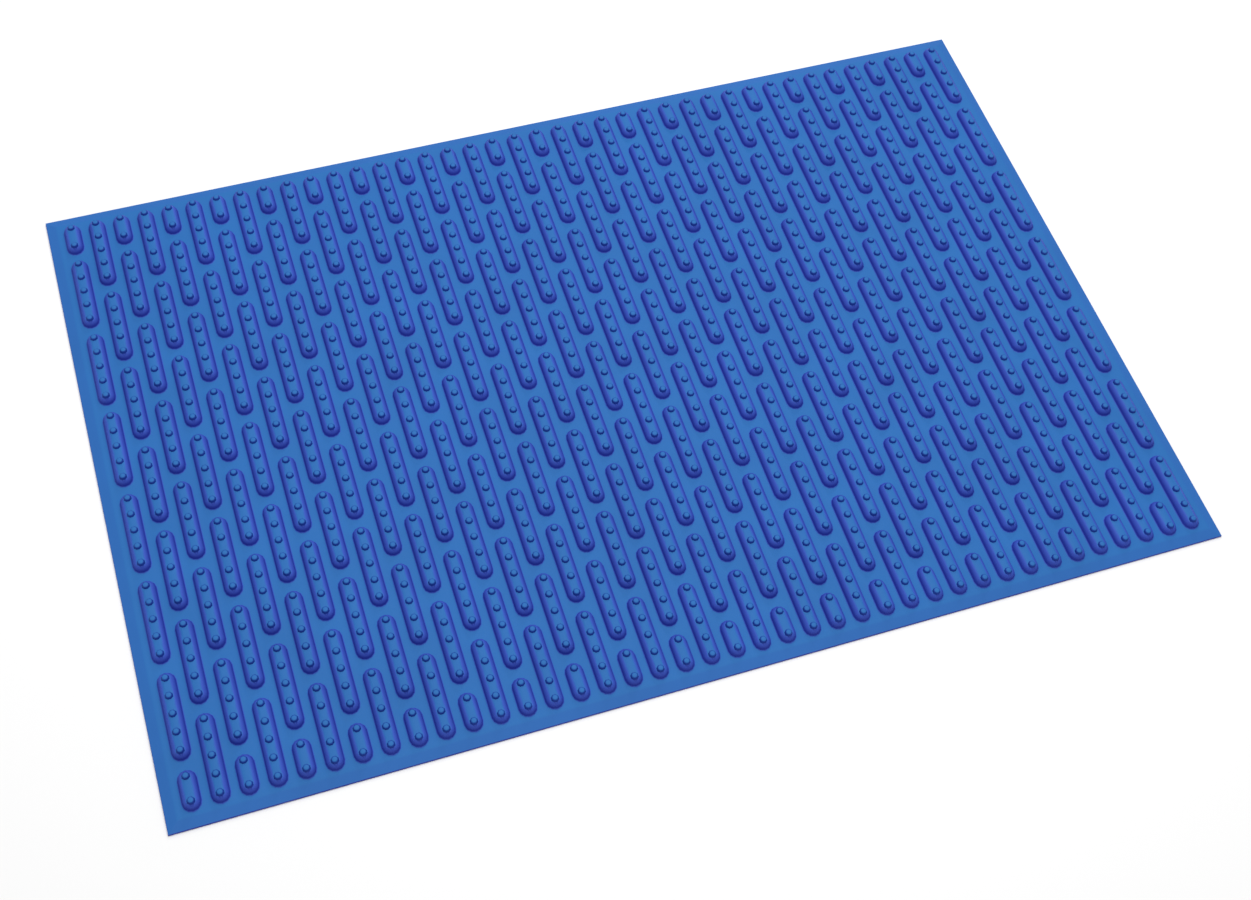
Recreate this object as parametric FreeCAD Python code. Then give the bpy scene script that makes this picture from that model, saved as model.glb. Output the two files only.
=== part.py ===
import FreeCAD, Part
import os
from math import cos, pi, sin
from FreeCAD import Vector

# Anti-fatigue floor mat, one soft rubber moulding: a bevelled sheet whose
# upper side carries columns of raised, round-ended bars laid like brickwork.
# Millimetres, +Z up, origin at the centre of the flat underside,
# length along X, bars along Y.

# Sheet
mat_length = 914.4
mat_width = 609.6
rim_thickness = 2.0       # square edge that meets the floor
sheet_thickness = 4.2     # underside to the floor of the bar field
bevel_width = 9.0         # sloped border from the rim up to the sheet

# Bars, measured at their foot
bar_length = 76.0
bar_width = 15.6
bar_height = 8.5          # sheet to the level that a shoe rests on
wall_height = 4.6         # sheet to the sloping shoulder
wall_draft = 0.9          # how far each wall leans in below its shoulder
crest_width = 6.2         # level strip along the top, as wide as a stud
end_corners = 4           # corners around each round end

# Field of bars
column_pitch = 22.31      # centre line to centre line along the length
bar_gap = 8.85            # end to end within a column
border_clearance = 3.0    # least flat strip between bevel and bars

# Derived sizes of the field
border = bevel_width + border_clearance
bar_pitch = bar_length + bar_gap
columns = 1 + int((mat_length - 2 * border - bar_width) / column_pitch)
bars_per_column = int((mat_width - 2 * border + bar_gap) / bar_pitch)
field_width = bars_per_column * bar_pitch - bar_gap
half_bar_length = (bar_length - bar_gap) / 2


def face_of(corners):
    """Flat face inside a closed run of corners."""
    return Part.Face(Part.makePolygon(corners + corners[:1]))


def block_through(outlines):
    """Solid through level outlines that have matching corners, from the lowest up."""
    faces = [face_of(outlines[0]), face_of(outlines[-1])]
    for low, high in zip(outlines, outlines[1:]):
        for k in range(len(low)):
            n = (k + 1) % len(low)
            faces.append(face_of([low[k], low[n], high[n], high[k]]))
    solid = Part.Solid(Part.Shell(faces))
    return solid if solid.Volume > 0 else solid.reversed()


def rectangle(length, width, z):
    """Corners of a rectangle centred on the Z axis."""
    x, y = length / 2, width / 2
    return [Vector(-x, -y, z), Vector(x, -y, z), Vector(x, y, z), Vector(-x, y, z)]


def round_ended(length, width, inset, z):
    """Corners of a round-ended outline along Y, drawn in by an inset."""
    half_step = pi / end_corners / 2
    reach = (width / 2 - inset) / cos(half_step)
    centre = (length - width) / 2
    corners = []
    for start, y in ((0, centre), (pi, -centre)):
        for k in range(end_corners):
            turn = start + (2 * k + 1) * half_step
            corners.append(Vector(reach * cos(turn), y + reach * sin(turn), z))
    return corners


def bevelled_sheet():
    """Rim with a square edge, and above it the sheet with its mitred bevel."""
    foot = rectangle(mat_length, mat_width, 0)
    edge = rectangle(mat_length, mat_width, rim_thickness)
    crown = rectangle(mat_length - 2 * bevel_width, mat_width - 2 * bevel_width,
                      sheet_thickness)
    return block_through([foot, edge, crown])


def raised_bar(length):
    """One bar with drafted walls and sloping shoulders, standing on the sheet."""
    crest_inset = (bar_width - crest_width) / 2
    foot = round_ended(length, bar_width, 0, sheet_thickness)
    shoulder = round_ended(length, bar_width, wall_draft, sheet_thickness + wall_height)
    crest = round_ended(length, bar_width, crest_inset, sheet_thickness + bar_height)
    return block_through([foot, shoulder, crest])


def column_of_bars(offset):
    """Bars of one column; an offset column closes with a short bar at each end."""
    whole = raised_bar(bar_length)
    count = bars_per_column - 1 if offset else bars_per_column
    first = -(count - 1) / 2 * bar_pitch
    bars = [whole.translated(Vector(0, first + k * bar_pitch, 0)) for k in range(count)]
    if offset:
        short = raised_bar(half_bar_length)
        end = (field_width - half_bar_length) / 2
        bars += [short.translated(Vector(0, y, 0)) for y in (-end, end)]
    return bars


def bar_field():
    """All columns, every second one offset by half a bar pitch."""
    bars = []
    for k in range(columns):
        x = (k - (columns - 1) / 2) * column_pitch
        bars += [bar.translated(Vector(x, 0, 0)) for bar in column_of_bars(k % 2 == 0)]
    return bars


os.makedirs("parts", exist_ok=True)
mat = bevelled_sheet().multiFuse(bar_field())
mat.Solids[0].exportStep("parts/mat.step")
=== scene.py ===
from math import pi, radians

import bmesh
import bpy
from bpy.props import FloatProperty, FloatVectorProperty, IntProperty, PointerProperty
from mathutils import Matrix, Vector


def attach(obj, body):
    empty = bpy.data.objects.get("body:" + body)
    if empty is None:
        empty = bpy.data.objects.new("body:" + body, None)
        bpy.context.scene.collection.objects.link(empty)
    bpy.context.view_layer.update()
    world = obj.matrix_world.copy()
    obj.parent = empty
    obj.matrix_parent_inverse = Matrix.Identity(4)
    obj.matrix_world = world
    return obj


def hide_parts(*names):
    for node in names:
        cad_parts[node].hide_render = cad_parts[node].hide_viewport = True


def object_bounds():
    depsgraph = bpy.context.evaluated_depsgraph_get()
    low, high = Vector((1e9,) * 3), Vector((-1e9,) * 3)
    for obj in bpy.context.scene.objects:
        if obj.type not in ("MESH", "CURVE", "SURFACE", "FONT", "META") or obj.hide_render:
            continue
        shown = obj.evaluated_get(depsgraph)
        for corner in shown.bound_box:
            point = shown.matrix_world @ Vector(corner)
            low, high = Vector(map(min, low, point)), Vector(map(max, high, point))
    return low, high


bl_info = {
    "name": "Moulded Floor Mat",
    "version": (1, 0, 0),
    "blender": (4, 5, 0),
    "location": "3D View > Sidebar > Floor Mat",
    "description": "Builds a moulded rubber floor mat with raised bars, and the stage it lies on",
    "category": "Add Mesh",
}

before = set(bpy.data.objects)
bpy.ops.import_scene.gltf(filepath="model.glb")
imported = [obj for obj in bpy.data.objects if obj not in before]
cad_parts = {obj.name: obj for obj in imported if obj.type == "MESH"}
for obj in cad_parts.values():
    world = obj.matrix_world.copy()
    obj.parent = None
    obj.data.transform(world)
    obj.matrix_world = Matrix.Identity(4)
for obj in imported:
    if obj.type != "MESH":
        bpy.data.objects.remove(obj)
solid_low, solid_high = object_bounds()
solid_size = solid_high - solid_low

# Limits of the mesh work, in metres and radians
SAME_POINT = 1e-6      # points closer than this are merged
ON_PLANE = 1e-7        # points closer than this lie on a cutting plane
SHORTEST_EDGE = 1e-4   # shorter edges between two roundings are closed up
SHARP_FOLD = radians(50)


# Colours and units

def linear(hex_code):
    """Linear RGB of an sRGB hex colour."""
    values = [int(hex_code[k:k + 2], 16) / 255 for k in (0, 2, 4)]
    return [v / 12.92 if v <= 0.04045 else ((v + 0.055) / 1.055) ** 2.4 for v in values]


def distance(name, default, description):
    """Length property in metres."""
    return FloatProperty(name=name, description=description, default=default, min=0.0,
                         precision=5, subtype="DISTANCE", unit="LENGTH")


def colour(name, hex_code, description):
    """Colour property with an sRGB hex default."""
    return FloatVectorProperty(name=name, description=description, default=linear(hex_code),
                               min=0.0, max=1.0, size=3, subtype="COLOR")


def amount(name, default, description):
    """Plain number property, never negative."""
    return FloatProperty(name=name, description=description, default=default, min=0.0)


def place_of(name, default, description):
    """Point property in metres."""
    return FloatVectorProperty(name=name, description=description, default=default, size=3,
                               subtype="TRANSLATION", unit="LENGTH")


def per_metre(millimetres):
    """Texture scale that gives features of that many millimetres."""
    return 1000.0 / millimetres


# Sizes and colours

class SheetSizes(bpy.types.PropertyGroup):
    """Sheet and its bevelled border."""
    length: distance("Length", solid_size.x, "Long side of the mat")
    width: distance("Width", solid_size.y, "Short side of the mat")
    rim: distance("Rim", 0.0020, "Height of the square edge that meets the floor")
    rim_round: distance("Rim round", 0.0004, "Softened arris along the rim's upper edge")
    bevel: distance("Bevel", 0.0090, "Width of the sloped border")
    crease: distance("Crease", 0.0012, "Softened fold between the bevel and the sheet")
    thickness: distance("Thickness", 0.0042, "Sheet from the floor to the field of bars")
    clearance: distance("Clearance", 0.0030, "Least flat strip between bevel and bars")
    landing: distance("Landing", 0.0010, "Level strip between the crease and the field")


class BarSizes(bpy.types.PropertyGroup):
    """Raised bars and the field that they make."""
    length: distance("Length", 0.0762, "Long bar, end to end at its foot")
    width: distance("Width", 0.0148, "Bar, side to side where its walls would meet the sheet")
    height: distance("Height", 0.0063, "Bar above the sheet, without its studs")
    draft: distance("Draft", 0.0012, "How far each wall leans in over the bar's height")
    foot: distance("Foot", 0.0010, "Hollow rounding where the wall meets the sheet")
    crest: distance("Crest", 0.0038, "Level strip along the bar between its rounded shoulders")
    pitch: distance("Column pitch", 0.02231, "Centre line to centre line of the columns")
    gap: distance("Gap", 0.00865, "End to end between the bars of a column")
    end_steps: IntProperty(name="End steps", description="Flats around a round end",
                           default=6, min=3)


class StudSizes(bpy.types.PropertyGroup):
    """Low round studs on the bars."""
    diameter: distance("Diameter", 0.0067, "Stud at the level of the bar's crest")
    height: distance("Height", 0.0022, "Stud above the bar")
    draft: distance("Draft", 0.0007, "How far the stud's side leans in over its height")
    root: distance("Root", 0.0012, "Stud below the bar's crest, inside its rounded shoulders")
    crown: distance("Crown", 0.0011, "Rounding of the stud's upper edge")
    pitch: distance("Pitch", 0.0157, "Centre to centre along a long bar")
    inset: distance("Inset", 0.0066, "Bar's foot at its end to the last stud's centre")
    steps: IntProperty(name="Steps", description="Flats around a stud", default=8, min=5)


class RubberColours(bpy.types.PropertyGroup):
    """Colours of the rubber, by the face they show on. The shoulder, wall and stud side colours
    are painted shade, darker where a face is turned further from level.
    """
    face: colour("Face", "2467AB", "Level faces, dulled by the mould's texture")
    # Painted shade: the rounded shoulders are coloured darker and more violet than the level faces
    shoulder: colour("Shoulder", "3653B1", "Rounded shoulders of the bars")
    # Painted shade: the steep walls are coloured darkest, standing in for the shade on them
    wall: colour("Wall", "29379D", "Steep walls, smoother and deeper in colour")
    # Painted shade: the studs' sides are coloured dark, standing in for the shade on their steep
    # sides
    stud: colour("Stud side", "14348C", "Sides of the studs")
    tip: colour("Stud top", "2463A6", "Tops of the studs")


class StageSettings(bpy.types.PropertyGroup):
    """Floor, lamps and camera."""
    floor: colour("Floor", "F0F0F0", "Pale matt floor")
    floor_size: distance("Floor size", 8.0, "Side of the square floor")
    softbox: place_of("Softbox", (0.15, 0.3, 2.4), "Centre of the overhead softbox")
    softbox_size: distance("Softbox size", 2.1, "Side of the square softbox")
    softbox_power: amount("Softbox power", 55, "Softbox, watts")
    key: place_of("Key lamp", (1.2, 2.4, 1.9), "Centre of the lamp behind the mat")
    key_size: distance("Key lamp size", 0.7, "Side of the square lamp behind the mat")
    key_power: amount("Key lamp power", 14, "Lamp behind the mat, watts")
    daylight: amount("Daylight", 0.42, "Even light from all round")
    camera: place_of("Camera", (-0.33495, -0.78594, 1.28211), "Camera in front and to the left")
    camera_turn: FloatVectorProperty(name="Camera turn", description="Turn about each axis",
                                     default=[radians(a) for a in (31.0666, -3.5974, -18.2711)],
                                     size=3, subtype="EULER", unit="ROTATION")
    lens: FloatProperty(name="Lens", description="Focal length on a 36 mm sensor",
                        default=49.21, min=1.0, subtype="DISTANCE_CAMERA", unit="CAMERA")


class MatSettings(bpy.types.PropertyGroup):
    """All settings of the mat and its stage."""
    sheet: PointerProperty(type=SheetSizes, name="Sheet", description="Sheet and border")
    bar: PointerProperty(type=BarSizes, name="Bars", description="Raised bars")
    stud: PointerProperty(type=StudSizes, name="Studs", description="Studs on the bars")
    rubber: PointerProperty(type=RubberColours, name="Rubber", description="Rubber colours")
    stage: PointerProperty(type=StageSettings, name="Stage", description="Floor, lamps and camera")


# Mesh tools

def verts_in(geometry):
    """Only the vertices of an operator's result."""
    return [g for g in geometry if isinstance(g, bmesh.types.BMVert)]


def edges_in(geometry):
    """Only the edges of an operator's result."""
    return [g for g in geometry if isinstance(g, bmesh.types.BMEdge)]


def section(corners, rounds):
    """New bmesh holding a chain of edges through the corners, with inner ones rounded."""
    bm = bmesh.new()
    verts = [bm.verts.new(corner) for corner in corners]
    for a, b in zip(verts, verts[1:]):
        bm.edges.new((a, b))
    for vert, (reach, segments) in zip(verts[1:-1], rounds):
        bmesh.ops.bevel(bm, geom=[vert], offset=reach, offset_type="OFFSET",
                        affect="VERTICES", segments=segments, profile=0.5, material=-1)
    bmesh.ops.remove_doubles(bm, verts=bm.verts[:], dist=SHORTEST_EDGE)
    return bm


def sweep_round_ended(bm, centre, steps):
    """Carries the section up one side, round the end, down the other side and round again."""
    edges = bm.edges[:]
    for side in (1, -1):
        made = bmesh.ops.extrude_edge_only(bm, edges=edges)["geom"]
        verts = verts_in(made)
        bmesh.ops.translate(bm, verts=verts, vec=(0, side * 2 * centre, 0))
        edges = [e for e in edges_in(made) if set(e.verts) <= set(verts)]
        turned = bmesh.ops.spin(bm, geom=verts + edges, cent=(0, side * centre, 0),
                                axis=(0, 0, 1), angle=pi, steps=steps)["geom_last"]
        edges = edges_in(turned)
    bmesh.ops.remove_doubles(bm, verts=bm.verts[:], dist=SAME_POINT)


def fill_level(bm, z):
    """Closes the area between all open loops that lie at one height."""
    edges = [e for e in bm.edges if len(e.link_faces) < 2
             and all(abs(v.co.z - z) < SAME_POINT for v in e.verts)]
    bmesh.ops.triangle_fill(bm, use_beauty=True, edges=edges, normal=(0, 0, 1))


def stamp(bm, mesh, x, y):
    """Adds a copy of a mesh, moved sideways."""
    copy = mesh.copy()
    copy.transform(Matrix.Translation((x, y, 0)))
    bm.from_mesh(copy)
    bpy.data.meshes.remove(copy)


def to_mesh(bm, name):
    """New mesh from a bmesh, which it uses up."""
    mesh = bpy.data.meshes.new(name)
    bm.to_mesh(mesh)
    bm.free()
    return mesh


def place(mesh, name):
    """New object in the scene that shows a mesh."""
    piece = bpy.data.objects.new(name, mesh)
    bpy.context.scene.collection.objects.link(piece)
    return piece


# The mat's own forms

def united(bm, other):
    """Union of two closed bmeshes, which it uses up."""
    piece = place(to_mesh(bm, "piece"), "piece")
    added = place(to_mesh(other, "added"), "added")
    union = piece.modifiers.new("union", "BOOLEAN")
    union.operation = "UNION"
    union.solver = "EXACT"
    union.object = added
    shown = piece.evaluated_get(bpy.context.evaluated_depsgraph_get())
    bm = bmesh.new()
    bm.from_mesh(shown.to_mesh())
    shown.to_mesh_clear()
    for mesh in (piece.data, added.data):
        bpy.data.meshes.remove(mesh)
    return bm


def stud_mesh(sheet, bar, stud):
    """One low round stud, closed, its foot inside the bar."""
    crest = sheet.thickness + bar.height
    radius = stud.diameter / 2
    spread = stud.draft / stud.height * stud.root
    top = crest + stud.height
    bm = section([(radius + spread, 0, crest - stud.root), (radius - stud.draft, 0, top),
                  (0, 0, top)], [(stud.crown, 2)])
    bmesh.ops.spin(bm, geom=bm.verts[:] + bm.edges[:], cent=(0, 0, 0), axis=(0, 0, 1),
                   angle=2 * pi, steps=stud.steps, use_merge=True)
    bmesh.ops.rotate(bm, verts=bm.verts[:], matrix=Matrix.Rotation(pi / stud.steps, 3, "Z"))
    bmesh.ops.remove_doubles(bm, verts=bm.verts[:], dist=SAME_POINT)
    fill_level(bm, crest - stud.root)
    bmesh.ops.recalc_face_normals(bm, faces=bm.faces[:])
    return to_mesh(bm, "stud")


def add_cell_outline(bm, width, length, parts, z):
    """Rectangle of bare edges, its long sides in so many parts."""
    made = bmesh.ops.create_grid(bm, x_segments=1, y_segments=1, size=0.5,
                                 matrix=Matrix.LocRotScale((0, 0, z), None,
                                                           (width, length, 1)))
    face = made["verts"][0].link_faces[0]
    sides = [e for e in face.edges if abs(e.verts[0].co.x - e.verts[1].co.x) < SAME_POINT]
    bmesh.ops.delete(bm, geom=[face], context="FACES_ONLY")
    bmesh.ops.subdivide_edges(bm, edges=sides, cuts=parts - 1)


def cut_across(bm, faces, y):
    """New edges where the faces cross a line across the bar."""
    around = {part for face in faces for part in (*face.verts, *face.edges)}
    bmesh.ops.bisect_plane(bm, geom=[*faces, *around], dist=ON_PLANE, plane_co=(0, y, 0),
                           plane_no=(0, 1, 0))


def bar_cell(sheet, bar, stud, length, parts, stud_places):
    """One raised bar with its studs and the level patch of sheet around it, whose long
    sides come in parts so that they meet the corners of the cells beside them."""
    base = sheet.thickness
    top = base + bar.height
    foot = bar.width / 2
    shoulder = foot - bar.draft
    crest = bar.crest / 2
    centre = length / 2 - foot
    bm = section([(foot + bar.foot, -centre, base), (foot, -centre, base),
                  (shoulder, -centre, top), (crest, -centre, top)],
                 [(bar.foot, 2), (shoulder - crest, 3)])
    sweep_round_ended(bm, centre, bar.end_steps)
    fill_level(bm, top)
    fill_level(bm, base)
    bmesh.ops.recalc_face_normals(bm, faces=bm.faces[:])
    for low, high in zip(stud_places, stud_places[1:]):
        crown = [f for f in bm.faces if max(v.co.z for v in f.verts) > top - SAME_POINT]
        cut_across(bm, crown, (low + high) / 2)
    one = stud_mesh(sheet, bar, stud)
    studs = bmesh.new()
    for y in stud_places:
        stamp(studs, one, 0, y)
    bm = united(bm, studs)
    underside = [f for f in bm.faces if max(v.co.z for v in f.verts) < base + SAME_POINT]
    bmesh.ops.delete(bm, geom=underside, context="FACES")
    add_cell_outline(bm, bar.pitch, length + bar.gap, parts, base)
    fill_level(bm, base)
    return to_mesh(bm, "bar_cell")


def cell_places(sheet, bar):
    """Centres of the long and of the short bars, column by column."""
    border = sheet.bevel + sheet.clearance
    pitch = bar.length + bar.gap
    columns = 1 + int((sheet.length - 2 * border - bar.width) / bar.pitch)
    rows = int((sheet.width - 2 * border + bar.gap) / pitch)
    end = (rows - 0.5) * pitch / 2
    long_places, short_places = [], []
    for k in range(columns):
        x = (k - (columns - 1) / 2) * bar.pitch
        count = rows - 1 if k % 2 == 0 else rows
        long_places += [(x, (j - (count - 1) / 2) * pitch) for j in range(count)]
        if k % 2 == 0:
            short_places += [(x, -end), (x, end)]
    return long_places, short_places


def trim_field(bm, x, y):
    """Cuts the field of cells back to a rectangle of these half sides."""
    for normal in ((1, 0, 0), (-1, 0, 0), (0, 1, 0), (0, -1, 0)):
        edge = (normal[0] * x, normal[1] * y, 0)
        bmesh.ops.bisect_plane(bm, geom=bm.verts[:] + bm.edges[:] + bm.faces[:], dist=ON_PLANE,
                               plane_co=edge, plane_no=normal, clear_outer=True)


def add_border(bm, sheet):
    """Level strip, mitred bevel, rim and underside, drawn outwards from the field's edge."""
    level = sheet.bevel + sheet.crease + sheet.landing
    trim_field(bm, sheet.length / 2 - level, sheet.width / 2 - level)
    profile = section([(level, 0, sheet.thickness), (sheet.bevel, 0, sheet.thickness),
                       (0, 0, sheet.rim), (0, 0, 0)],
                      [(sheet.crease, 2), (sheet.rim_round, 2)])
    rings = sorted((tuple(v.co) for v in profile.verts), key=lambda p: (-p[0], -p[2]))
    profile.free()
    loop = [e for e in bm.edges if e.is_boundary]
    inset, _, z = rings[0]
    for next_inset, _, next_z in rings[1:]:
        made = bmesh.ops.extrude_edge_only(bm, edges=loop)["geom"]
        verts = verts_in(made)
        wider = [(side / 2 - next_inset) / (side / 2 - inset)
                 for side in (sheet.length, sheet.width)]
        bmesh.ops.scale(bm, verts=verts, vec=(*wider, 1))
        bmesh.ops.translate(bm, verts=verts, vec=(0, 0, next_z - z))
        loop = [e for e in edges_in(made) if set(e.verts) <= set(verts)]
        inset, z = next_inset, next_z
    bmesh.ops.edgeloop_fill(bm, edges=loop)


def moulding(settings):
    """The whole mat as one closed mesh. A short bar is what a long one leaves in the last
    half pitch of a column, and its two studs stand at its ends."""
    sheet, bar, stud = settings.sheet, settings.bar, settings.stud
    short = (bar.length - bar.gap) / 2
    end = short / 2 - stud.inset
    each_side = int((bar.length / 2 - stud.inset) / stud.pitch)
    long_places = [k * stud.pitch for k in range(-each_side, each_side + 1)]
    long_cell = bar_cell(sheet, bar, stud, bar.length, 2, long_places)
    short_cell = bar_cell(sheet, bar, stud, short, 1, [-end, end])
    bm = bmesh.new()
    for cell, places in zip((long_cell, short_cell), cell_places(sheet, bar)):
        for x, y in places:
            stamp(bm, cell, x, y)
    bmesh.ops.remove_doubles(bm, verts=bm.verts[:], dist=SAME_POINT)
    add_border(bm, sheet)
    bmesh.ops.recalc_face_normals(bm, faces=bm.faces[:])
    if not all(e.is_manifold for e in bm.edges):
        raise RuntimeError("the mat's mesh isn't closed")
    for face in bm.faces:
        face.smooth = True
    for edge in bm.edges:
        edge.smooth = edge.calc_face_angle() < SHARP_FOLD
    return to_mesh(bm, "mat_moulding")


# Materials

def add(tree, kind, inputs=None, **settings):
    """One node with its settings, its fixed inputs and its links."""
    node = tree.nodes.new(kind)
    for name, value in settings.items():
        setattr(node, name, value)
    for name, value in (inputs or {}).items():
        if isinstance(value, bpy.types.NodeSocket):
            tree.links.new(value, node.inputs[name])
        else:
            node.inputs[name].default_value = value
    return node


def new_material(name):
    """Material with an empty node tree."""
    material = bpy.data.materials.new(name)
    material.use_nodes = True
    material.node_tree.nodes.clear()
    return material, material.node_tree


def painted_shade_by_slope(tree, upright, stops):
    """Painted shade: colour that follows how far a face is turned up, given as (turn, colour)
    pairs, lowest first.
    """
    ramp = add(tree, "ShaderNodeValToRGB", {"Fac": upright})
    elements = ramp.color_ramp.elements
    elements[1].position = stops[-1][0]
    for turn, _ in stops[1:-1]:
        elements.new(turn)
    for element, (turn, shade) in zip(elements, stops):
        element.position = turn
        element.color = (*shade, 1)
    return ramp.outputs["Color"]


def moulded_rubber(settings):
    """Pigmented rubber, compression moulded: matt and slightly uneven, with a blasted mould's
    grain.
    Painted shade by slope: rounded shoulders darker and more violet than level faces, drafted
    walls deeper still, and the studs' sides dark. The crests are painted a little lighter than the
    sheet, as painted light."""
    colours = settings.rubber
    sheet = settings.sheet.thickness
    crest = sheet + settings.bar.height
    stud_foot = crest - 0.0004   # the studs' colours, with the painted shade on their sides, start just below the crest
    material, tree = new_material("moulded_blue_rubber")
    place_on_mat = add(tree, "ShaderNodeTexCoord")
    position = place_on_mat.outputs["Object"]
    level = add(tree, "ShaderNodeSeparateXYZ", {"Vector": position}).outputs["Z"]
    turned = add(tree, "ShaderNodeSeparateXYZ", {"Vector": place_on_mat.outputs["Normal"]})
    upright = turned.outputs["Z"]
    # Painted shade: the bars' walls and shoulders are coloured darker and more violet than their
    # level faces. A turn of 0 is an upright face, and 1 a level one
    bars = painted_shade_by_slope(tree, upright, [(0.35, colours.wall), (0.84, colours.shoulder),
                                    (1.0, colours.face)])
    # Painted shade: the studs' steep sides are coloured dark, and their tops stay near the face
    # colour
    studs = painted_shade_by_slope(tree, upright, [(0.70, colours.stud), (0.97, colours.tip)])
    above = add(tree, "ShaderNodeMapRange", {"Value": level, "From Min": stud_foot,
                                             "From Max": crest})
    shade = add(tree, "ShaderNodeMix", {"Factor": above.outputs["Result"], "A": bars,
                                        "B": studs}, data_type="RGBA")
    # Uneven mixing of the pigment shows as clouds about 70 mm across
    cloud = add(tree, "ShaderNodeTexNoise", {"Vector": position, "Scale": per_metre(70),
                                             "Detail": 3.0, "Roughness": 0.5})
    tone = add(tree, "ShaderNodeMapRange", {"Value": cloud.outputs["Fac"], "From Min": 0.3,
                                            "From Max": 0.7, "To Min": 0.96, "To Max": 1.04})
    # Painted light: the colour rises with height, up to 6% lighter on the crests than on the sheet
    painted_crest_light = add(tree, "ShaderNodeMapRange", {"Value": level, "From Min": sheet,
                                            "From Max": crest, "To Min": 1.0, "To Max": 1.06})
    value = add(tree, "ShaderNodeMath", {0: tone.outputs["Result"], 1: painted_crest_light.outputs["Result"]},
                operation="MULTIPLY")
    tinted = add(tree, "ShaderNodeHueSaturation", {"Color": shade.outputs["Result"],
                                                   "Value": value.outputs["Value"]})
    # The blasted mould's grain is finer than this, and is drawn at 1.2 mm so that it shows
    grain = add(tree, "ShaderNodeTexNoise", {"Vector": position, "Scale": per_metre(1.2),
                                             "Detail": 2.0})
    dull = add(tree, "ShaderNodeMapRange", {"Value": grain.outputs["Fac"], "To Min": 0.55,
                                            "To Max": 0.70})
    relief = add(tree, "ShaderNodeBump", {"Height": grain.outputs["Fac"], "Strength": 0.15,
                                          "Distance": 0.0001})
    surface = add(tree, "ShaderNodeBsdfPrincipled", {
        "Base Color": tinted.outputs["Color"],
        "Roughness": dull.outputs["Result"],
        "Normal": relief.outputs["Normal"],
        "IOR": 1.5,
        "Specular IOR Level": 0.2,
    })
    add(tree, "ShaderNodeOutputMaterial", {"Surface": surface.outputs["BSDF"]})
    return material


def matt_floor(stage):
    """Pale painted board: matt, with a faint roller texture."""
    material, tree = new_material("matt_pale_floor")
    position = add(tree, "ShaderNodeTexCoord").outputs["Object"]
    roller = add(tree, "ShaderNodeTexNoise", {"Vector": position, "Scale": per_metre(3)})
    relief = add(tree, "ShaderNodeBump", {"Height": roller.outputs["Fac"], "Strength": 0.02,
                                          "Distance": 0.0002})
    surface = add(tree, "ShaderNodeBsdfPrincipled", {
        "Base Color": (*stage.floor, 1),
        "Roughness": 0.8,
        "Normal": relief.outputs["Normal"],
    })
    add(tree, "ShaderNodeOutputMaterial", {"Surface": surface.outputs["BSDF"]})
    return material


# Stage

def add_floor(stage):
    """Square floor under the mat."""
    bm = bmesh.new()
    bmesh.ops.create_grid(bm, x_segments=1, y_segments=1, size=stage.floor_size / 2)
    floor = place(to_mesh(bm, "floor"), "floor")
    floor.data.materials.append(matt_floor(stage))


def add_lamp(name, location, size, power):
    """Square soft lamp that faces the middle of the mat."""
    lamp = bpy.data.lights.new(name, "AREA")
    lamp.size = size
    lamp.energy = power
    holder = bpy.data.objects.new(name, lamp)
    holder.location = location
    holder.rotation_euler = (-Vector(location)).to_track_quat("-Z", "Y").to_euler()
    bpy.context.scene.collection.objects.link(holder)


def add_daylight(strength):
    """Even pale light from all round."""
    world = bpy.data.worlds.new("pale_room")
    world.use_nodes = True
    background = world.node_tree.nodes["Background"]
    background.inputs["Color"].default_value = (1, 1, 1, 1)
    background.inputs["Strength"].default_value = strength
    bpy.context.scene.world = world


def add_camera(stage):
    """Camera in front and to the left of the mat, looking down on it."""
    lens = bpy.data.cameras.new("camera")
    lens.sensor_width = 36.0
    lens.lens = stage.lens
    lens.clip_start = 0.01
    camera = bpy.data.objects.new("camera", lens)
    camera.location = stage.camera
    camera.rotation_euler = stage.camera_turn
    bpy.context.scene.collection.objects.link(camera)
    bpy.context.scene.camera = camera


# Operators

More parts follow.
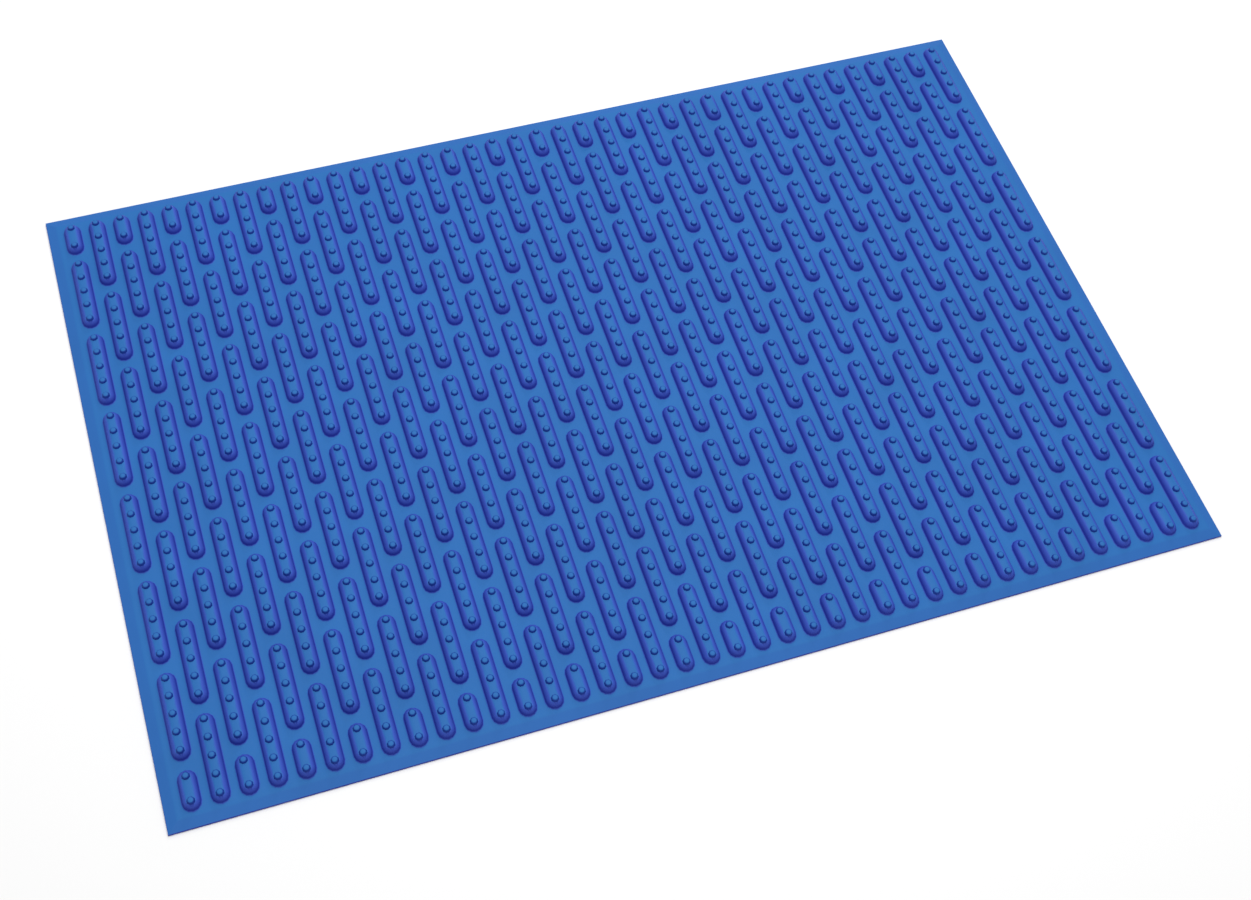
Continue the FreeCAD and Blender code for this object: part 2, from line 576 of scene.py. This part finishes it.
class FLOORMAT_OT_moulding(bpy.types.Operator):
    """Build the mat: sheet, border, bars and studs as one rubber moulding"""
    bl_idname = "floormat.moulding"
    bl_label = "Build Mat"
    bl_options = {"REGISTER", "UNDO"}

    def execute(self, context):
        settings = context.scene.floor_mat
        piece = place(moulding(settings), "mat_moulding")
        piece.data.materials.append(moulded_rubber(settings))
        level = piece.modifiers.new("level_faces", "WEIGHTED_NORMAL")
        level.mode = "FACE_AREA"
        level.keep_sharp = True
        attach(piece, "root")
        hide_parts("mat")
        return {"FINISHED"}


class FLOORMAT_OT_stage(bpy.types.Operator):
    """Build the stage: floor, lamps and camera"""
    bl_idname = "floormat.stage"
    bl_label = "Build Stage"
    bl_options = {"REGISTER", "UNDO"}

    def execute(self, context):
        stage = context.scene.floor_mat.stage
        add_floor(stage)
        add_lamp("softbox", stage.softbox, stage.softbox_size, stage.softbox_power)
        add_lamp("key_lamp", stage.key, stage.key_size, stage.key_power)
        add_daylight(stage.daylight)
        add_camera(stage)
        context.scene.view_settings.view_transform = "Standard"
        return {"FINISHED"}


class FLOORMAT_PT_sidebar(bpy.types.Panel):
    """Sizes, colours and build steps of the floor mat"""
    bl_idname = "FLOORMAT_PT_sidebar"
    bl_label = "Floor Mat"
    bl_space_type = "VIEW_3D"
    bl_region_type = "UI"
    bl_category = "Floor Mat"

    def draw(self, context):
        settings = context.scene.floor_mat
        for name in ("sheet", "bar", "stud", "rubber", "stage"):
            group = getattr(settings, name)
            box = self.layout.box()
            box.label(text=settings.bl_rna.properties[name].name)
            for size in group.bl_rna.properties:
                if not size.is_readonly and size.identifier != "name":
                    box.prop(group, size.identifier)
        self.layout.operator(FLOORMAT_OT_moulding.bl_idname)
        self.layout.operator(FLOORMAT_OT_stage.bl_idname)


CLASSES = (
    SheetSizes,
    BarSizes,
    StudSizes,
    RubberColours,
    StageSettings,
    MatSettings,
    FLOORMAT_OT_moulding,
    FLOORMAT_OT_stage,
    FLOORMAT_PT_sidebar,
)


def register():
    for cls in CLASSES:
        bpy.utils.register_class(cls)
    bpy.types.Scene.floor_mat = PointerProperty(type=MatSettings)


def unregister():
    del bpy.types.Scene.floor_mat
    for cls in reversed(CLASSES):
        bpy.utils.unregister_class(cls)


def main():
    register()
    bpy.ops.floormat.moulding()
    bpy.ops.floormat.stage()


if __name__ == "__main__":
    main()
